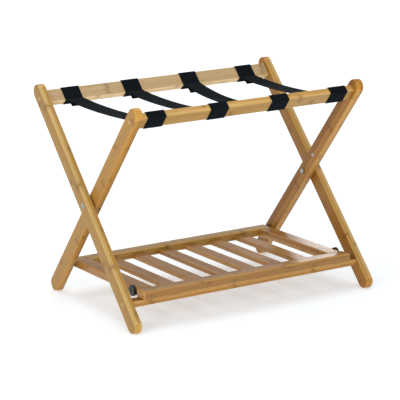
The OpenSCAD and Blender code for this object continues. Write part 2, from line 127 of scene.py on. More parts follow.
# %% Strips, fibres and stem joints
def bamboo_figure(tree, local, ply, phase, seed):
    """The figure of the bamboo as values from 0 to 1. The whole part of the place divided by the
    strip's size numbers each strip, and white noise of that number is its chance."""
    across_t, across_w, along = add(tree, "SeparateXYZ", {0: local})[:3]
    layer = add(tree, "Math", {0: across_t, 1: 1 / ply, 2: phase}, operation="MULTIPLY_ADD")[0]
    strip = add(tree, "Math", {0: across_w, 1: 1 / STRIP_W, 2: phase}, operation="MULTIPLY_ADD")[0]
    layer_no = add(tree, "Math", {0: layer}, operation="FLOOR")[0]
    strip_no = add(tree, "Math", {0: strip}, operation="FLOOR")[0]
    cell = add(tree, "CombineXYZ", {0: layer_no, 1: strip_no, 2: seed})[0]
    chance = add(tree, "TexWhiteNoise", {"Vector": cell}, noise_dimensions="3D")["Color"]
    tone, shift, swing = add(tree, "SeparateColor", {0: chance})[:3]

    # fibres and clouds: noise drawn out along the piece
    fibre_at = add(tree, "Mapping", {"Vector": local, "Scale": [1 / s for s in FIBRE_MM],
                                     "Location": (seed, 0, 0)})[0]
    fibre = add(tree, "TexNoise", {"Vector": fibre_at, "Scale": 1.0, "Detail": 3.0,
                                   "Roughness": 0.6})[0]
    cloud_at = add(tree, "Mapping", {"Vector": local, "Scale": [1 / s for s in CLOUD_MM],
                                     "Location": (0, seed * 3.7, 0)})[0]
    cloud = add(tree, "TexNoise", {"Vector": cloud_at, "Scale": 1.0, "Detail": 2.0})[0]

    # distance to the nearest stem joint on this strip, slightly bent across the strip
    shifted = add(tree, "Math", {0: shift, 1: JOINT_EVERY * JOINT_SHIFT, 2: along},
                  operation="MULTIPLY_ADD")[0]
    bent = add(tree, "Math", {0: cloud, 1: JOINT_BEND, 2: shifted}, operation="MULTIPLY_ADD")[0]
    from_joint = add(tree, "Math", {0: bent, 1: JOINT_EVERY / 2}, operation="PINGPONG")[0]
    joint_line = add(tree, "MapRange", {"Value": from_joint, 1: JOINT_HALF, 2: 0.4, 3: 0.0, 4: 1.0},
                     interpolation_type="SMOOTHSTEP")[0]
    joint_zone = add(tree, "MapRange", {"Value": from_joint, 1: JOINT_FADE, 2: 0.0, 3: 0.0, 4: 1.0},
                     interpolation_type="SMOOTHSTEP")[0]

    # glue lines, where a strip or layer number changes
    strip_edge = add(tree, "Math", {0: strip, 1: 0.5}, operation="PINGPONG")[0]
    layer_edge = add(tree, "Math", {0: layer, 1: 0.5}, operation="PINGPONG")[0]
    strip_glue = add(tree, "MapRange", {"Value": strip_edge, 1: GLUE_W / STRIP_W, 2: 0.0,
                                        3: 0.0, 4: 1.0})[0]
    layer_glue = add(tree, "MapRange", {"Value": layer_edge, 1: GLUE_W / ply, 2: 0.0,
                                        3: 0.0, 4: 1.0})[0]
    glue = add(tree, "Math", {0: strip_glue, 1: layer_glue}, operation="MAXIMUM")[0]
    return {"across_t": across_t, "across_w": across_w, "tone": tone, "swing": swing,
            "fibre": fibre, "cloud": cloud, "line": joint_line, "zone": joint_zone, "glue": glue}


# %% [markdown]
# ## Bamboo colours
#
# Each piece has a light and a dark tone, and its strips lie between them. A leg's narrow faces
# show its two plies side by side, and on some legs they differ a good deal, so those faces get a
# tone for each ply. These ply tones also carry painted light: they are lighter on three legs and
# darker, a painted shade, on the inner left leg. The slats' sides get a darker brown, which is a
# painted shade for the gaps between the slats. The fibres, the stem joints and the glue lines go
# over that ground in turn.

# %% Tones of the pieces
BAMBOO_FIBRE = "#98682a"
BAMBOO_JOINT = "#70431a"
BAMBOO_GLUE = "#6e4720"
# partly painted reflection: the rear rail's own pale bamboo, made paler still for the pale veil of
# its lacquer
PALEST_GLARE_TAN = ("#fadfae", "#e0bb80")  # light and dark strips of the palest piece
PALE_TAN = ("#e8c078", "#c4954c")
MID_TAN = ("#e0b765", "#b98a3c")
# painted light: the inner left leg's tones are lifted to make up for the shade it gets beside the
# crossing
WARM_PAINTED_LIGHT_TAN = ("#efbd60", "#cb9746")
# painted shade: the two right legs get darker tones than the left ones, for the shade on their
# faces turned away from the light
RIGHT_SHADED_TAN = ("#d39a3e", "#a87026")
DEEP_SHADED_TAN = ("#d3963a", "#a26a22")
BOARD_TAN = ("#d8a55c", "#b07c3a")
LOW_TAN = ("#dcab60", "#b27f3e")
SLAT_TAN = ("#dda552", "#a8722f")
# painted light and shade: besides the plies' own tones, these are lighter than the leg's body on
# three legs and darker on the inner left leg
NARROW_PLY_TANS_AND_PAINTED_LIGHT = {   # the two plies seen on a narrow face, the one with the lower X first
    "outer_leg_left": ("#f4d48e", "#c08e44"), "inner_leg_left": ("#c98f46", "#99662c"),
    "outer_leg_right": ("#dcb266", "#f2d492"), "inner_leg_right": ("#e6b86c", "#d29d50")}
# painted shade: the slats' long sides, which face into the narrow gaps between slats, are darkened
# to this brown
SLAT_SIDE_PAINTED_SHADE = "#6f4218"

# %% Where the narrow faces begin, and how strong each mark is
NARROW_FROM, NARROW_TO = 17.2, 18.6   # mm from a leg's middle line
SIDE_FROM, SIDE_TO = 16.5, 17.6       # mm from a slat's middle line
PLY_SOFT = 0.4                        # mm, half width of the change from one ply to the other
NARROW_SHARE, SIDE_SHADE_SHARE = 0.62, 0.45
TONE_SHARE, CLOUD_SHARE = 0.75, 0.75  # what a strip's chance and the clouds add to its tone
TONE_FROM, TONE_TO = 0.2, 1.2         # their sum at the light and at the dark end
FIBRE_SHARE, ZONE_SHARE, GLUE_SHARE = 0.36, 0.30, 0.46
LINE_LEAST, LINE_MOST = 0.25, 0.62    # the dark line at a joint is stronger on some strips


def bamboo_ground(tree, node_name, figure, light, dark):
    """The colour under the marks: light to dark by the strip's chance plus the clouds, and on a
    narrow face, which begins at a distance from the middle line, the colour of that face. On a
    leg that is the two plies' tones with painted light and shade in them; on a slat it is a
    painted shade for the gap beside it."""
    toned = add(tree, "Math", {0: figure["tone"], 1: TONE_SHARE}, operation="MULTIPLY")[0]
    blend = add(tree, "Math", {0: figure["cloud"], 1: CLOUD_SHARE, 2: toned},
                operation="MULTIPLY_ADD")[0]
    share = add(tree, "MapRange", {"Value": blend, 1: TONE_FROM, 2: TONE_TO, 3: 0.0, 4: 1.0})[0]
    body = add(tree, "Mix", {0: share, MIX_A: linear(light), MIX_B: linear(dark)},
               data_type="RGBA")[MIX_OUT]
    if node_name in NARROW_PLY_TANS_AND_PAINTED_LIGHT:
        low_ply, high_ply = (linear(tan) for tan in NARROW_PLY_TANS_AND_PAINTED_LIGHT[node_name])
        side = add(tree, "MapRange", {"Value": figure["across_t"], 1: -PLY_SOFT, 2: PLY_SOFT})[0]
        face = add(tree, "Mix", {0: side, MIX_A: low_ply, MIX_B: high_ply},
                   data_type="RGBA")[MIX_OUT]
        limits = {1: NARROW_FROM, 2: NARROW_TO, 3: 0.0, 4: NARROW_SHARE}
    # a slat's side gets a painted shade for the gap beside it
    elif node_name.startswith("shelf_slat_"):
        face = linear(SLAT_SIDE_PAINTED_SHADE)
        limits = {1: SIDE_FROM, 2: SIDE_TO, 3: 0.0, 4: SIDE_SHADE_SHARE}
    else:
        return body
    off_middle = add(tree, "Math", {0: figure["across_w"]}, operation="ABSOLUTE")[0]
    narrow = add(tree, "MapRange", {"Value": off_middle, **limits})[0]
    return add(tree, "Mix", {0: narrow, MIX_A: body, MIX_B: face}, data_type="RGBA")[MIX_OUT]


# %% The bamboo material
def bamboo(name, node_name, thin, wide, ply, light, dark, coat, phase, seed):
    """Lacquered laminated bamboo for one piece.

    thin and wide are the directions across the layers and across the strips; their cross product
    runs along the fibres. The pattern is centred on the piece's own box.
    """
    material, tree, output = new_material(name)
    local = bamboo_space(tree, node_name, Vector(thin).normalized(), Vector(wide).normalized())
    figure = bamboo_figure(tree, local, ply, phase, seed)
    ground = bamboo_ground(tree, node_name, figure, light, dark)

    # fibres, then the tinted zone and the dark line at a joint, then glue lines
    fibre_share = add(tree, "MapRange", {"Value": figure["fibre"], 1: 0.42, 2: 0.78,
                                         3: 0.0, 4: FIBRE_SHARE})[0]
    zone_share = add(tree, "Math", {0: figure["zone"], 1: ZONE_SHARE}, operation="MULTIPLY")[0]
    line_most = add(tree, "MapRange", {"Value": figure["swing"], 3: LINE_LEAST, 4: LINE_MOST})[0]
    line_share = add(tree, "Math", {0: figure["line"], 1: line_most}, operation="MULTIPLY")[0]
    glue_share = add(tree, "Math", {0: figure["glue"], 1: GLUE_SHARE}, operation="MULTIPLY")[0]
    colour = ground
    for share, mark in ((fibre_share, BAMBOO_FIBRE), (zone_share, BAMBOO_JOINT),
                        (line_share, BAMBOO_JOINT), (glue_share, BAMBOO_GLUE)):
        colour = add(tree, "Mix", {0: share, MIX_A: colour, MIX_B: linear(mark)},
                     data_type="RGBA")[MIX_OUT]

    # relief under the lacquer: fibres, a low ridge at each joint, a hairline at each glue line
    ridge = add(tree, "Math", {0: figure["zone"], 1: 0.8, 2: figure["fibre"]},
                operation="MULTIPLY_ADD")[0]
    relief = add(tree, "Math", {0: figure["glue"], 1: -0.7, 2: ridge}, operation="MULTIPLY_ADD")[0]
    bump = add(tree, "Bump", {"Height": relief, "Strength": 0.25, "Distance": 0.15 * MM})[0]
    rough = add(tree, "MapRange", {"Value": figure["fibre"], 1: 0.3, 2: 0.75,
                                   3: 0.36, 4: 0.50})[0]
    surface = add(tree, "BsdfPrincipled", {
        "Base Color": colour, "Roughness": rough, "Normal": bump, "IOR": 1.5,
        "Coat Weight": coat, "Coat Roughness": 0.14, "Coat IOR": 1.5,
        "Specular IOR Level": 0.16})[0]
    tree.links.new(surface, output.inputs["Surface"])
    return material


# %% [markdown]
# ## Which way each piece runs
#
# The legs lean 42 degrees, the outer pair one way and the inner pair the other. Sine and cosine
# of the lean give the directions along a leg and across it. The top rails lie in the leg frames,
# so their wide faces lean too. The shelf and the lower rail are level.

# %% Directions of the pieces
LEAN = math.radians(42)
SIN, COS = math.sin(LEAN), math.cos(LEAN)
X, Z, FRONT = (1, 0, 0), (0, 0, 1), (0, -1, 0)
outer_across, outer_along = (0, COS, -SIN), (0, SIN, COS)
inner_across, inner_along = (0, COS, SIN), (0, -SIN, COS)
LEG_COAT, SHELF_COAT = 0.12, 0.35   # weight of the lacquer's gloss; the shelf's is thicker

# %% Bamboo on every wooden piece
bamboo_pieces = [  # piece, across its layers, across its strips, layer in mm, tones, phase
    ("outer_leg_left", X, outer_across, 10.0, MID_TAN, 0.0),
    ("outer_leg_right", X, outer_across, 10.0, RIGHT_SHADED_TAN, 0.0),
    ("inner_leg_left", X, inner_across, 10.0, WARM_PAINTED_LIGHT_TAN, 0.0),
    ("inner_leg_right", X, inner_across, 10.0, DEEP_SHADED_TAN, 0.0),
    ("rear_top_rail", outer_across, outer_along, 9.0, PALEST_GLARE_TAN, 0.0),
    ("front_top_rail", inner_across, inner_along, 9.0, PALE_TAN, 0.0),
    ("lower_front_rail", Z, FRONT, 7.5, LOW_TAN, 0.0),
    ("shelf_front_board", Z, FRONT, 10.5, BOARD_TAN, 0.0),
    ("shelf_back_board", Z, FRONT, 10.5, MID_TAN, 0.0),
    ("shelf_end_board_left", Z, X, 10.5, SLAT_TAN, 0.0),
    ("shelf_end_board_right", Z, X, 10.5, SLAT_TAN, 0.0),
] + [("shelf_slat_%d" % i, Z, X, 10.0, SLAT_TAN, 0.5) for i in range(1, 7)]


def dress(names, material):
    """Gives the named frame pieces one material."""
    for name in names:
        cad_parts[name].data.materials.clear()
        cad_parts[name].data.materials.append(material)
    print(material.name, "on", len(names))


for seed, (piece, thin, wide, ply, tones, phase) in enumerate(bamboo_pieces, start=1):
    coat = SHELF_COAT if piece.startswith("shelf_") else LEG_COAT
    dress([piece], bamboo("lacquered_bamboo_" + piece, piece, thin, wide, ply, *tones, coat,
                          phase, float(seed)))


# %% [markdown]
# ## Dowels and plugs
#
# The screws from the legs into the rails sit under round bamboo plugs, which show as faint pale
# dots. Birch dowels join the boards, hidden inside them. Both show end grain, a field of fine
# pores, so the pattern is small round cells in place of long fibres.

# %% End grain
PORE = "#8a6234"
PORE_MM, RING_MM = 0.9, 3.5   # mm, distance of the pores and size of the softer rings


def end_grain(name, pale, deep):
    """End grain of a dowel or plug: small darker pores in the ground, under the same lacquer."""
    material, tree, output = new_material(name)
    coords = add(tree, "TexCoord")["Object"]
    local = add(tree, "Mapping", {"Vector": coords, "Scale": (1 / MM,) * 3})[0]
    pores = add(tree, "TexVoronoi", {"Vector": local, "Scale": 1 / PORE_MM})["Distance"]
    rings = add(tree, "TexNoise", {"Vector": local, "Scale": 1 / RING_MM, "Detail": 3.0})[0]
    pore = add(tree, "MapRange", {"Value": pores, 1: 0.12, 2: 0.4, 3: 0.55, 4: 0.0})[0]
    ground = add(tree, "Mix", {0: rings, MIX_A: linear(pale), MIX_B: linear(deep)},
                 data_type="RGBA")[MIX_OUT]
    colour = add(tree, "Mix", {0: pore, MIX_A: ground, MIX_B: linear(PORE)},
                 data_type="RGBA")[MIX_OUT]
    bump = add(tree, "Bump", {"Height": pores, "Strength": 0.2, "Distance": 0.1 * MM})[0]
    rough = add(tree, "MapRange", {"Value": rings, 3: 0.38, 4: 0.52})[0]
    surface = add(tree, "BsdfPrincipled", {
        "Base Color": colour, "Roughness": rough, "Normal": bump, "IOR": 1.5,
        "Coat Weight": 0.3, "Coat Roughness": 0.2})[0]
    tree.links.new(surface, output.inputs["Surface"])
    return material


dress([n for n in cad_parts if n.endswith("_dowels")],
      end_grain("birch_dowel_ends", "#cda468", "#a67a42"))
dress([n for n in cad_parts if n.endswith("_plugs")],
      end_grain("bamboo_plugs", "#cda261", "#a97d40"))


# %% [markdown]
# ## Plated steel
#
# The bolts, nuts and screws are turned steel with a thin zinc coat. To the eye that is a grey
# metal with a slight blue cast, cloudy patches where the plating grew thicker, and fine turning
# marks. The screws in the two catches are black oxide, which is the same steel nearly as dark as
# the nylon round it. A metal's colour is its reflection, so Metallic is 1 and the IOR is left
# alone.

# %% Steel hardware
PATCH_MM, TOOL_MM = 4.0, 0.35   # mm, size of the plating's patches and distance of the tool marks


def plated_steel(name, bright, dull):
    """Turned steel with a thin plating: a metal with cloudy patches and fine tool marks."""
    material, tree, output = new_material(name)
    coords = add(tree, "TexCoord")["Object"]
    local = add(tree, "Mapping", {"Vector": coords, "Scale": (1 / MM,) * 3})[0]
    cloud = add(tree, "TexNoise", {"Vector": local, "Scale": 1 / PATCH_MM, "Detail": 4.0})[0]
    marks = add(tree, "TexNoise", {"Vector": local, "Scale": 1 / TOOL_MM, "Detail": 2.0})[0]
    colour = add(tree, "Mix", {0: cloud, MIX_A: linear(bright), MIX_B: linear(dull)},
                 data_type="RGBA")[MIX_OUT]
    rough = add(tree, "MapRange", {"Value": cloud, 1: 0.3, 2: 0.7, 3: 0.24, 4: 0.42})[0]
    bump = add(tree, "Bump", {"Height": marks, "Strength": 0.15, "Distance": 0.05 * MM})[0]
    surface = add(tree, "BsdfPrincipled", {
        "Base Color": colour, "Roughness": rough, "Normal": bump, "Metallic": 1.0})[0]
    tree.links.new(surface, output.inputs["Surface"])
    return material


steel_words = ("rail_screws", "_bolt_left", "_bolt_right", "_nut_left", "_nut_right", "_inserts",
               "pin_left", "pin_right", "keeper_left", "keeper_right")
dress([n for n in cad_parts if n.endswith(steel_words)],
      plated_steel("zinc_plated_steel", "#c3c7ca", "#8b9095"))
dress(["shelf_catch_screws"], plated_steel("black_oxide_steel", "#3a3d40", "#232527"))


# %% [markdown]
# ## Moulded nylon
#
# Washers, spacers and the two round catches are injection-moulded black nylon. The mould leaves a
# fine grain, and handling polishes it unevenly, so the gloss wanders a little over the surface.

# %% Black nylon
NYLON_BLACK, NYLON_WORN = "#0b0c0d", "#1a1c1e"
GRAIN_MM, WEAR_MM = 0.5, 7.0   # mm, size of the mould grain and of the polished patches


def moulded_nylon(name):
    """Black moulded nylon: a fine mould grain with a wandering gloss."""
    material, tree, output = new_material(name)
    coords = add(tree, "TexCoord")["Object"]
    local = add(tree, "Mapping", {"Vector": coords, "Scale": (1 / MM,) * 3})[0]
    grain = add(tree, "TexNoise", {"Vector": local, "Scale": 1 / GRAIN_MM, "Detail": 2.0})[0]
    wear = add(tree, "TexNoise", {"Vector": local, "Scale": 1 / WEAR_MM, "Detail": 3.0})[0]
    colour = add(tree, "Mix", {0: wear, MIX_A: linear(NYLON_BLACK), MIX_B: linear(NYLON_WORN)},
                 data_type="RGBA")[MIX_OUT]
    rough = add(tree, "MapRange", {"Value": wear, 1: 0.3, 2: 0.7, 3: 0.36, 4: 0.58})[0]
    bump = add(tree, "Bump", {"Height": grain, "Strength": 0.3, "Distance": 0.06 * MM})[0]
    surface = add(tree, "BsdfPrincipled", {
        "Base Color": colour, "Roughness": rough, "Normal": bump, "IOR": 1.53})[0]
    tree.links.new(surface, output.inputs["Surface"])
    return material


nylon_words = ("washer_left", "washer_right", "spacer_left", "spacer_right", "catch_left",
               "catch_right")
dress([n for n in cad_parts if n.endswith(nylon_words)], moulded_nylon("black_nylon"))


# %% [markdown]
# ## Webbing
#
# The straps are black polypropylene webbing. Thick yarns run along it, and thinner ones cross them
# over and under, so each crossing is a small pillow. Along both edges runs a tighter selvedge. The
# dyed yarn is a bluish black with hardly any gloss, and rubbing lifts it to a dark grey in places.
#
# The weave has to follow the strap round its bends, so it reads the strap's own UV map, in which
# one unit is one metre both across and along.

# %% The webbing material
YARN_ACROSS = 2.0   # mm between yarns across the strap; the real 1.4 mm is too fine to show
YARN_ALONG = 1.7    # mm between crossings along the strap, drawn as coarse for the same reason
SELVEDGE = 2.6      # mm, width of the tight edge
LINT_MM = (6.0, 22.0)    # mm, size of the rubbed places across and along
# painted light and shade: the yarn is darker between the pillows and lighter on their tops
YARN_LOW_SHADED, YARN_HIGH_LIT = "#0a0e11", "#192228"   # the yarn between the pillows and on top of them
YARN_RUBBED, YARN_EDGE = "#222b31", "#0b0f12"
OVER_LIFT = 0.35         # how much higher the yarns that pass over are, as a share of a pillow


def webbing(name, half_width):
    """Black polypropylene webbing: the product of two sine waves is the over and under."""
    material, tree, output = new_material(name)
    coords = add(tree, "TexCoord")["UV"]
    local = add(tree, "Mapping", {"Vector": coords, "Scale": (1 / MM,) * 3})[0]
    across, along = add(tree, "SeparateXYZ", {0: local})[:2]
    warp_angle = add(tree, "Math", {0: across, 1: math.pi / YARN_ACROSS}, operation="MULTIPLY")[0]
    weft_angle = add(tree, "Math", {0: along, 1: math.pi / YARN_ALONG}, operation="MULTIPLY")[0]
    warp = add(tree, "Math", {0: warp_angle}, operation="SINE")[0]
    weft = add(tree, "Math", {0: weft_angle}, operation="SINE")[0]
    over = add(tree, "Math", {0: warp, 1: weft}, operation="MULTIPLY")[0]
    pillow = add(tree, "Math", {0: over}, operation="ABSOLUTE")[0]
    height = add(tree, "Math", {0: over, 1: OVER_LIFT, 2: pillow}, operation="MULTIPLY_ADD")[0]

    from_middle = add(tree, "Math", {0: across}, operation="ABSOLUTE")[0]
    edge = add(tree, "MapRange", {"Value": from_middle, 1: half_width / MM - SELVEDGE,
                                  2: half_width / MM - SELVEDGE * 0.6, 3: 0.0, 4: 1.0})[0]
    lint_at = add(tree, "Mapping", {
        "Vector": local, "Scale": (1 / LINT_MM[0], 1 / LINT_MM[1], 1.0)})[0]
    lint = add(tree, "TexNoise", {"Vector": lint_at, "Scale": 1.0, "Detail": 4.0})[0]
    # lighter with the weave's height: painted light on the pillows, painted shade between them
    yarn_light_share = add(tree, "MapRange", {"Value": height, 1: 0.0, 2: 1 + OVER_LIFT,
                                        3: 0.0, 4: 0.85})[0]
    yarn = add(tree, "Mix", {0: yarn_light_share, MIX_A: linear(YARN_LOW_SHADED), MIX_B: linear(YARN_HIGH_LIT)},
               data_type="RGBA")[MIX_OUT]
    lint_share = add(tree, "MapRange", {"Value": lint, 1: 0.45, 2: 0.8, 3: 0.0, 4: 0.35})[0]
    rubbed = add(tree, "Mix", {0: lint_share, MIX_A: yarn, MIX_B: linear(YARN_RUBBED)},
                 data_type="RGBA")[MIX_OUT]
    edge_share = add(tree, "Math", {0: edge, 1: 0.45}, operation="MULTIPLY")[0]
    colour = add(tree, "Mix", {0: edge_share, MIX_A: rubbed, MIX_B: linear(YARN_EDGE)},
                 data_type="RGBA")[MIX_OUT]
    bump = add(tree, "Bump", {"Height": height, "Strength": 0.55, "Distance": 0.35 * MM})[0]
    rough = add(tree, "MapRange", {"Value": lint, 1: 0.3, 2: 0.7, 3: 0.62, 4: 0.82})[0]
    surface = add(tree, "BsdfPrincipled", {
        "Base Color": colour, "Roughness": rough, "Normal": bump, "IOR": 1.49,
        "Specular IOR Level": 0.03, "Sheen Weight": 0.01, "Sheen Roughness": 0.4,
        "Sheen Tint": linear("#9fb2c4")})[0]
    tree.links.new(surface, output.inputs["Surface"])
    return material


# %% [markdown]
# ## The path of a strap
#
# Each strap is one strip of webbing. It starts as a short flap sewn under the span, goes round the
# rear rail, runs forward over the rack with a little sag, goes round the front rail and ends in a
# second flap. Seen from the side that is one line, which is worked out from the rail's section:
# corner points in the rail's own directions, rounded by small arcs, and a parabola for the span.
# The last bit of a flap, past its stitches, is loose and curls down from the span.
#
# A simulation could drape it, but a strap that is sewn tight round two rails hardly moves, and the
# built line keeps its exact length.

# %% Measurements of the straps
RAIL_T, RAIL_W = 18 * MM, 36 * MM   # section of the top rails
STRAP_T = 1.8 * MM
WRAP_GAP = 0.25 * MM                # air between the wood and the webbing
BEND_R = 3.1 * MM                   # radius of the strap's middle line round a rail's corner
FLAP_L = 37 * MM                    # how far from the rail a flap ends
FLAP_GAP = 0.1 * MM
CURL_L, CURL = 15 * MM, 7.5 * MM    # length of a flap's loose end, and how far it curls down
CURL_POWER = 1.6                    # above 1, so that the curl starts gently
FLAP_FROM = 4 * MM                  # how far from the rail a flap starts to lie against the span
FLAP_CORNER = 0.82                  # where a flap turns under the rail, of its half thickness
SPAN_ROWS, SKIP = 80, 6             # points on half a span, and those the first bend takes up
LEAVE_AT = 17 * MM                  # where the span leaves the wide face, below the rail's middle
STEP = 1.5 * MM                     # distance between two rows of the mesh
SAGS = [9 * MM, 11 * MM, 23 * MM, 11 * MM]   # how far each span hangs below its ends

rear_low, rear_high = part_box("rear_top_rail")
rail_mid = np.array([rear_low.y + rear_high.y, rear_low.z + rear_high.z]) / 2
across_2d = np.array([COS, -SIN])   # the rail's thin direction, in the side view
up_2d = np.array([SIN, COS])        # its wide direction, up along the leg
print("rail middle in the side view", rail_mid.round(4))


# %% The line of a strap, seen from the side
def rounded(corners, radius, n=7):
    """A line through corners, each replaced by an arc: the arc starts and ends where its circle
    touches the two sides, and its points are turned about the circle's middle in equal steps."""
    corners = np.asarray(corners, float)
    line = [corners[:1]]
    for before, here, after in zip(corners[:-2], corners[1:-1], corners[2:]):
        come = (here - before) / np.linalg.norm(here - before)
        go = (after - here) / np.linalg.norm(after - here)
        bend = math.acos(np.clip(come @ go, -1, 1))
        reach = radius * math.tan(bend / 2)
        side = np.sign(come[0] * go[1] - come[1] * go[0])
        normal = side * np.array([-come[1], come[0]])
        middle = here - come * reach + normal * radius
        angle = side * np.linspace(0, bend, n)
        turned = np.stack([np.cos(angle) * -normal[0] - np.sin(angle) * -normal[1],
                           np.sin(angle) * -normal[0] + np.cos(angle) * -normal[1]], 1)
        line.append(middle + radius * turned)
    line.append(corners[-1:])
    return np.concatenate(line)


def evenly(line, step):
    """The same line with points at equal distances, found by its running length."""
    run = np.concatenate([[0], np.cumsum(np.linalg.norm(np.diff(line, axis=0), axis=1))])
    at = np.linspace(0, run[-1], int(round(run[-1] / step)) + 1)
    return np.stack([np.interp(at, run, line[:, k]) for k in range(2)], 1), at


def strap_line(sag):
    """Half the strap is built at the rear rail and mirrored to the front one. The span's height is
    the leaving point's, less the sag times one minus the square of the distance from the middle.
    The flap is the span moved down by its thickness, plus a power of the way along its end."""
    thin_off = RAIL_T / 2 + WRAP_GAP + STRAP_T / 2
    wide_off = RAIL_W / 2 + WRAP_GAP + STRAP_T / 2
    leave = rail_mid - thin_off * across_2d - LEAVE_AT * up_2d
    y = leave[0] * np.linspace(1, 0, SPAN_ROWS)
    span = np.stack([y, leave[1] - sag * (1 - (y / leave[0]) ** 2)], 1)
    slope = np.gradient(span, axis=0)
    slope /= np.linalg.norm(slope, axis=1)[:, None]
    below = np.stack([slope[:, 1], -slope[:, 0]], 1)
    below *= np.sign(-below[:, 1:])
    run = np.cumsum(np.concatenate([[0], np.linalg.norm(np.diff(span, axis=0), axis=1)]))
    curl = CURL * np.clip((run - FLAP_L + CURL_L) / CURL_L, 0, 1) ** CURL_POWER
    doubled = span + below * (STRAP_T + FLAP_GAP + curl)[:, None]
    flap = doubled[(run < FLAP_L) & (run > FLAP_FROM)][::-1]
    wrap = [flap[-2], flap[-1]] + [rail_mid + a * thin_off * across_2d + b * wide_off * up_2d
                                   for a, b in ((-FLAP_CORNER, -1), (1, -1), (1, 1), (-1, 1))]
    wrap += [leave, span[SKIP]]
    half = np.concatenate([flap[:-2], rounded(wrap, BEND_R), span[SKIP + 1:]])
    return np.concatenate([half, (half * [-1, 1])[::-1][1:]])


lines = [evenly(strap_line(sag), STEP) for sag in SAGS]
strap_lengths = [float(at[-1]) for _, at in lines]
print("strap lengths in mm", [round(length / MM, 1) for length in strap_lengths])


# %% [markdown]
# ## The strap as a surface
#
# The webbing is a flat oblong section with round edges, carried along that line. The section is a
# list of points across the strap and through its thickness. Multiplying the outward direction of
# the line by the thickness values, and adding the width along X, gives the whole surface in one
# step. Two small end faces close it.

# %% Section, surface and mesh
def oblong(half_width, half_t, flats=15, arcs=5):
    """A closed section: two straight runs joined by half circles of the strap's half thickness."""
    reach = half_width - half_t
    run = np.linspace(-reach, reach, flats)
    turn = np.linspace(-math.pi / 2, math.pi / 2, arcs + 2)[1:-1]
    x = np.concatenate([run, reach + half_t * np.cos(turn), run[::-1],
                        -reach - half_t * np.cos(turn)])
    t = np.concatenate([np.full(flats, -half_t), half_t * np.sin(turn), np.full(flats, half_t),
                        -half_t * np.sin(turn)])
    return x, t


def sides_of(line):
    """Unit directions square to the line at each point, a quarter turn from its own direction."""
    way = np.gradient(line, axis=0)
    way /= np.linalg.norm(way, axis=1)[:, None]
    return np.stack([-way[:, 1], way[:, 0]], 1)


def closed_strip(name, points, across, along):
    """Mesh of a grid whose rows are closed rings, with both end rings filled. The UV map holds
    the distances across and along, in metres."""
    rows, ring = points.shape[:2]
    i, j = np.meshgrid(np.arange(rows - 1), np.arange(ring), indexing="ij")
    k = (j + 1) % ring
    quads = np.stack([i * ring + j, i * ring + k, (i + 1) * ring + k, (i + 1) * ring + j], -1)
    ends = [list(range(ring))[::-1], list(range((rows - 1) * ring, rows * ring))]
    mesh = bpy.data.meshes.new(name)
    mesh.from_pydata(points.reshape(-1, 3), [], quads.reshape(-1, 4).tolist() + ends)
    at = np.zeros(len(mesh.loops), np.int32)
    mesh.loops.foreach_get("vertex_index", at)
    uv = np.stack([across[at % ring], along[at // ring]], 1)
    mesh.uv_layers.new(name="weave").data.foreach_set("uv", uv.astype(np.float32).ravel())
    mesh.polygons.foreach_set("use_smooth", np.ones(len(mesh.polygons), bool))
    mesh.validate()
    return mesh


def shown(mesh, material):
    """An object at the origin that shows the mesh with its material."""
    mesh.materials.append(material)
    piece = bpy.data.objects.new(mesh.name, mesh)
    bpy.context.scene.collection.objects.link(piece)
    return piece


# %% [markdown]
# ## Stitches
#
# Two rows of lockstitch hold each flap. The rows cross the strap, and each stitch is a short, fat
# bit of thread that dips into the webbing at both ends. One stitch is a small spindle of a few
# faces. All stitches of a strap are copies of it, moved to their places as one array.

# %% Thread and the shape of a stitch
STITCH_L, STITCH_R = 2.7 * MM, 0.42 * MM
STITCH_PITCH = 3.3 * MM        # drawn a little longer than real ones, so that they show
STITCH_SINK = 0.1 * MM         # how deep a stitch lies in the webbing
ROWS_AT = (17 * MM, 28 * MM)    # distance of the rows from the start of the flap
ROW_MARGIN = 3.5 * MM          # from the strap's edge to the first stitch
# painted light and shade: the thread is lighter on its ridges and darker in the grooves between
# them
THREAD_GROOVE_SHADE, THREAD_RIDGE_LIGHT = "#15181b", "#3b4148"
TWIST = 0.55                   # scale of the thread's ridges, nearly two to a millimetre


def thread(name):
    """Black polyester thread: a twist of two strands, seen as slanting ridges."""
    material, tree, output = new_material(name)
    coords = add(tree, "TexCoord")["Object"]
    local = add(tree, "Mapping", {"Vector": coords, "Scale": (1 / MM,) * 3,
                                  "Rotation": (0, 0, math.radians(35))})[0]
    twist = add(tree, "TexWave", {"Vector": local, "Scale": TWIST, "Distortion": 0.6})[1]
    # the colour follows the ridges: painted light on them, painted shade between them
    colour = add(tree, "Mix", {0: twist, MIX_A: linear(THREAD_GROOVE_SHADE), MIX_B: linear(THREAD_RIDGE_LIGHT)},
                 data_type="RGBA")[MIX_OUT]
    bump = add(tree, "Bump", {"Height": twist, "Strength": 0.4, "Distance": 0.1 * MM})[0]
    surface = add(tree, "BsdfPrincipled", {"Base Color": colour, "Roughness": 0.55,
                                           "Normal": bump, "IOR": 1.55})[0]
    tree.links.new(surface, output.inputs["Surface"])
    return material


def spindle(n_round=6, n_long=5):
    """One stitch along X: rings whose radius follows a half sine, closed by their tiny ends."""
    s = np.linspace(0, 1, n_long)
    radius = STITCH_R * np.maximum(np.sin(math.pi * s) ** 0.5, 0.12)
    turn = np.arange(n_round) * 2 * math.pi / n_round
    ring = np.stack([np.zeros(n_round), np.cos(turn), np.sin(turn)], 1)
    points = ring[None] * radius[:, None, None]
    points[..., 0] = ((s - 0.5) * STITCH_L)[:, None]
    return points


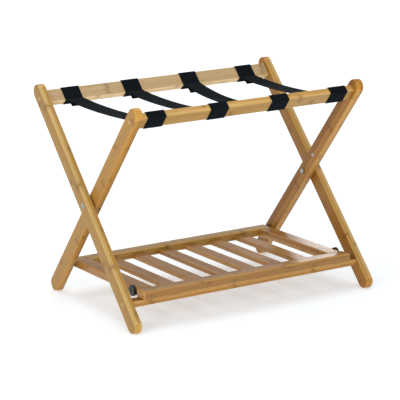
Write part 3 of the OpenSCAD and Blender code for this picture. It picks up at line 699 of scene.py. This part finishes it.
def stitch_mesh(name, places, ups):
    """Copies of the spindle: each is turned so that its Z follows up, and moved to its place."""
    one = spindle()
    rows, ring = one.shape[:2]
    flat = one.reshape(-1, 3)
    sideways = np.stack([np.zeros(len(ups)), ups[:, 1], -ups[:, 0]], 1)
    raised = np.stack([np.zeros(len(ups)), ups[:, 0], ups[:, 1]], 1)
    points = (places[:, None, :] + flat[None, :, :1] * np.array([1.0, 0, 0])
              + flat[None, :, 1:2] * sideways[:, None, :] + flat[None, :, 2:] * raised[:, None, :])
    i, j = np.meshgrid(np.arange(rows - 1), np.arange(ring), indexing="ij")
    k = (j + 1) % ring
    quads = np.stack([i * ring + j, i * ring + k, (i + 1) * ring + k, (i + 1) * ring + j], -1)
    quads = quads.reshape(-1, 4)
    start = np.arange(len(places)) * rows * ring
    every = (quads[None] + start[:, None, None]).reshape(-1, 4)
    first = np.arange(ring)[::-1] + start[:, None]
    last = np.arange(ring) + (rows - 1) * ring + start[:, None]
    mesh = bpy.data.meshes.new(name)
    mesh.from_pydata(points.reshape(-1, 3), [], every.tolist() + first.tolist() + last.tolist())
    mesh.polygons.foreach_set("use_smooth", np.ones(len(mesh.polygons), bool))
    return mesh


# %% [markdown]
# ## Four straps
#
# Each strap gets its own sag and a slight cupping, because no two straps pull the same. Towards
# the middle of the span the edges lift by about a millimetre.

# %% The surface of one strap
CUP = 1.2 * MM                    # how much the edges lift in the middle of a span
CUP_REACH, CUP_POWER = 0.86, 1.5  # share of the way to a rail where the cupping ends, and its fade


def span_across(number):
    """Middle and half width of a strap along X, from its span in the frame."""
    low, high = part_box("strap_%d_span" % number)
    return (low.x + high.x) / 2, (high.x - low.x) / 2


def strap_surface(line, along, centre_x, half_width):
    """The strap as a grid of points: the line, plus the section's thickness along the outward
    direction, plus its width along X. The edges lift by the cup times the square of the place
    across the strap, less and less towards the rails."""
    across, through = oblong(half_width, STRAP_T / 2)
    fade = np.clip(1 - (line[:, 0] / (rail_mid[0] * CUP_REACH)) ** 2, 0, 1) ** CUP_POWER
    in_span = np.abs(along - along[-1] / 2) < rail_mid[0]
    points = np.zeros((len(line), len(across), 3))
    points[..., 0] = centre_x + across[None, :]
    points[..., 1:] = line[:, None, :] + sides_of(line)[:, None, :] * through[None, :, None]
    points[..., 2] += (CUP * fade * in_span)[:, None] * (across[None, :] / half_width) ** 2
    return points, across


# %% The places of its stitches
def stitch_places(line, along, centre_x, half_width):
    """Where each stitch lies and which way is up there: rows across the doubled part of the
    strap, at both its ends and on both its faces."""
    per_row = int((2 * half_width - 2 * ROW_MARGIN) / STITCH_PITCH) + 1
    xs = centre_x + (np.arange(per_row) - (per_row - 1) / 2) * STITCH_PITCH
    sides = sides_of(line)
    places, ups = [], []
    for distance in [d for row in ROWS_AT for d in (row, along[-1] - row)]:
        k = int(np.argmin(np.abs(along - distance)))
        below = sides[k] * np.sign(-sides[k][1])
        for up, off in ((below, STRAP_T / 2), (-below, STRAP_T * 1.5 + FLAP_GAP)):
            spot = line[k] + up * (off - STITCH_SINK)
            places.append(np.stack([xs, np.full(per_row, spot[0]), np.full(per_row, spot[1])], 1))
            ups.append(np.tile(up, (per_row, 1)))
    return np.concatenate(places), np.concatenate(ups)


# %% Build the straps and their stitches
black_webbing = webbing("polypropylene_webbing", span_across(1)[1])
black_thread = thread("polyester_thread")

for number, (line, along) in enumerate(lines, start=1):
    centre_x, half_width = span_across(number)
    points, across = strap_surface(line, along, centre_x, half_width)
    strap = shown(closed_strip("strap_%d" % number, points, across, along), black_webbing)
    places, ups = stitch_places(line, along, centre_x, half_width)
    stitches = shown(stitch_mesh("strap_%d_stitches" % number, places, ups), black_thread)
    print(strap.name, "faces", len(strap.data.polygons), "stitches", len(places))

    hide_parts(*["strap_%d_%s" % (number, part)
                         for part in ("rear_loop", "front_loop", "span")])
    for piece in (strap, stitches):
        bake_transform(piece)

# %% [markdown]
# ## Floor, light and camera
#
# The rack stands on a plain white floor in a bright, soft studio. A large softbox above gives the
# pale shadow under the shelf, and two at the front and the left shape the legs. A fourth, low
# behind the right end, is mirrored in the lacquer there as a pale glare. The camera is far away
# with a long lens, so the rack's lines stay nearly parallel.


# %% Floor
FLOOR_HALF = 14.0                   # m, half the side of the floor
FLOOR_WHITES = ("#f0f7fd", "#ebf3fa")   # slightly blue, which evens out the bamboo's warm glow
GLOW_FROM, GLOW_TO = 0.5, 4.5       # m from the rack where the floor's glow starts and ends to rise
GLOW_NEAR, GLOW_FAR = 0.31, 0.62


def white_floor(name):
    """A matt white sweep with a faint mottle, which glows more with distance, as a lit backdrop
    does: the glow follows the distance from the rack."""
    material, tree, output = new_material(name)
    coords = add(tree, "TexCoord")["Object"]
    mottle = add(tree, "TexNoise", {"Vector": coords, "Scale": 3.0, "Detail": 2.0})[0]
    whites = [linear(white) for white in FLOOR_WHITES]
    colour = add(tree, "Mix", {0: mottle, MIX_A: whites[0], MIX_B: whites[1]},
                 data_type="RGBA")[MIX_OUT]
    away = add(tree, "VectorMath", {0: coords}, operation="LENGTH")["Value"]
    glow = add(tree, "MapRange", {"Value": away, 1: GLOW_FROM, 2: GLOW_TO,
                                  3: GLOW_NEAR, 4: GLOW_FAR},
               interpolation_type="SMOOTHSTEP")[0]
    surface = add(tree, "BsdfPrincipled", {
        "Base Color": colour, "Roughness": 0.9, "Specular IOR Level": 0.1,
        "Emission Color": linear("#ffffff"), "Emission Strength": glow})[0]
    tree.links.new(surface, output.inputs["Surface"])
    return material


corners = np.array([[-1, -1, 0], [1, -1, 0], [1, 1, 0], [-1, 1, 0]]) * FLOOR_HALF
floor_mesh = bpy.data.meshes.new("studio_floor")
floor_mesh.from_pydata(corners.tolist(), [], [[0, 1, 2, 3]])
floor = shown(floor_mesh, white_floor("matt_white_floor"))
print("floor side in m", 2 * FLOOR_HALF)

# %% Lights
WORLD_LIGHT = 0.55   # an even white light from all round, which keeps the shadows soft

world = bpy.data.worlds.new("studio")
bpy.context.scene.world = world
world.use_nodes = True
sky = world.node_tree.nodes["Background"].inputs
sky["Color"].default_value = linear("#ffffff")
sky["Strength"].default_value = WORLD_LIGHT


def softbox(name, place, aim, size, power):
    """A square area light at place that looks at aim."""
    light = bpy.data.lights.new(name, "AREA")
    light.shape, light.size, light.energy = "SQUARE", size, power
    lamp = bpy.data.objects.new(name, light)
    lamp.location = place
    lamp.rotation_euler = (Vector(aim) - Vector(place)).to_track_quat("-Z", "Y").to_euler()
    bpy.context.scene.collection.objects.link(lamp)


bpy.context.scene.view_settings.view_transform = "Standard"
for box in (   # name, place, aim, side in m, power in W
        ("softbox_above", (0.1, 0.5, 2.6), (0, 0, 0.1), 2.4, 24),
        ("softbox_front", (-1.2, -2.6, 1.4), (0, 0, 0.3), 1.2, 13.5),
        ("softbox_left", (-1.9, -0.9, 0.8), (-0.2, 0, 0.3), 0.8, 8),
        ("softbox_behind", (3.4, 3.9, 1.35), (0.25, 0, 0.1), 0.9, 10)):
    softbox(*box)
    print(box[0], "W", box[-1])

# %% Camera
# The view looks along the azimuth from +Y towards +X, and down by the elevation.
CAMERA_AT = (-2.326, -3.923, 1.292)
AZIMUTH, DOWN, ROLL = (math.radians(a) for a in (30.53, 13.10, -1.67))
LENS, SENSOR = 169.3, 36.0

forward = Vector((math.sin(AZIMUTH) * math.cos(DOWN), math.cos(AZIMUTH) * math.cos(DOWN),
                  -math.sin(DOWN)))
level = forward.cross(Vector(Z)).normalized()
upright = level.cross(forward)
right = math.cos(ROLL) * level + math.sin(ROLL) * upright
up = math.cos(ROLL) * upright - math.sin(ROLL) * level
lens = bpy.data.cameras.new("camera")
lens.lens, lens.sensor_width, lens.clip_end = LENS, SENSOR, 100
camera = bpy.data.objects.new("camera", lens)
turn = Matrix([right, up, -forward]).transposed().to_4x4()
camera.matrix_world = Matrix.Translation(CAMERA_AT) @ turn
bpy.context.scene.collection.objects.link(camera)
bpy.context.scene.camera = camera
print("camera distance in m", round(Vector(CAMERA_AT).length, 2))
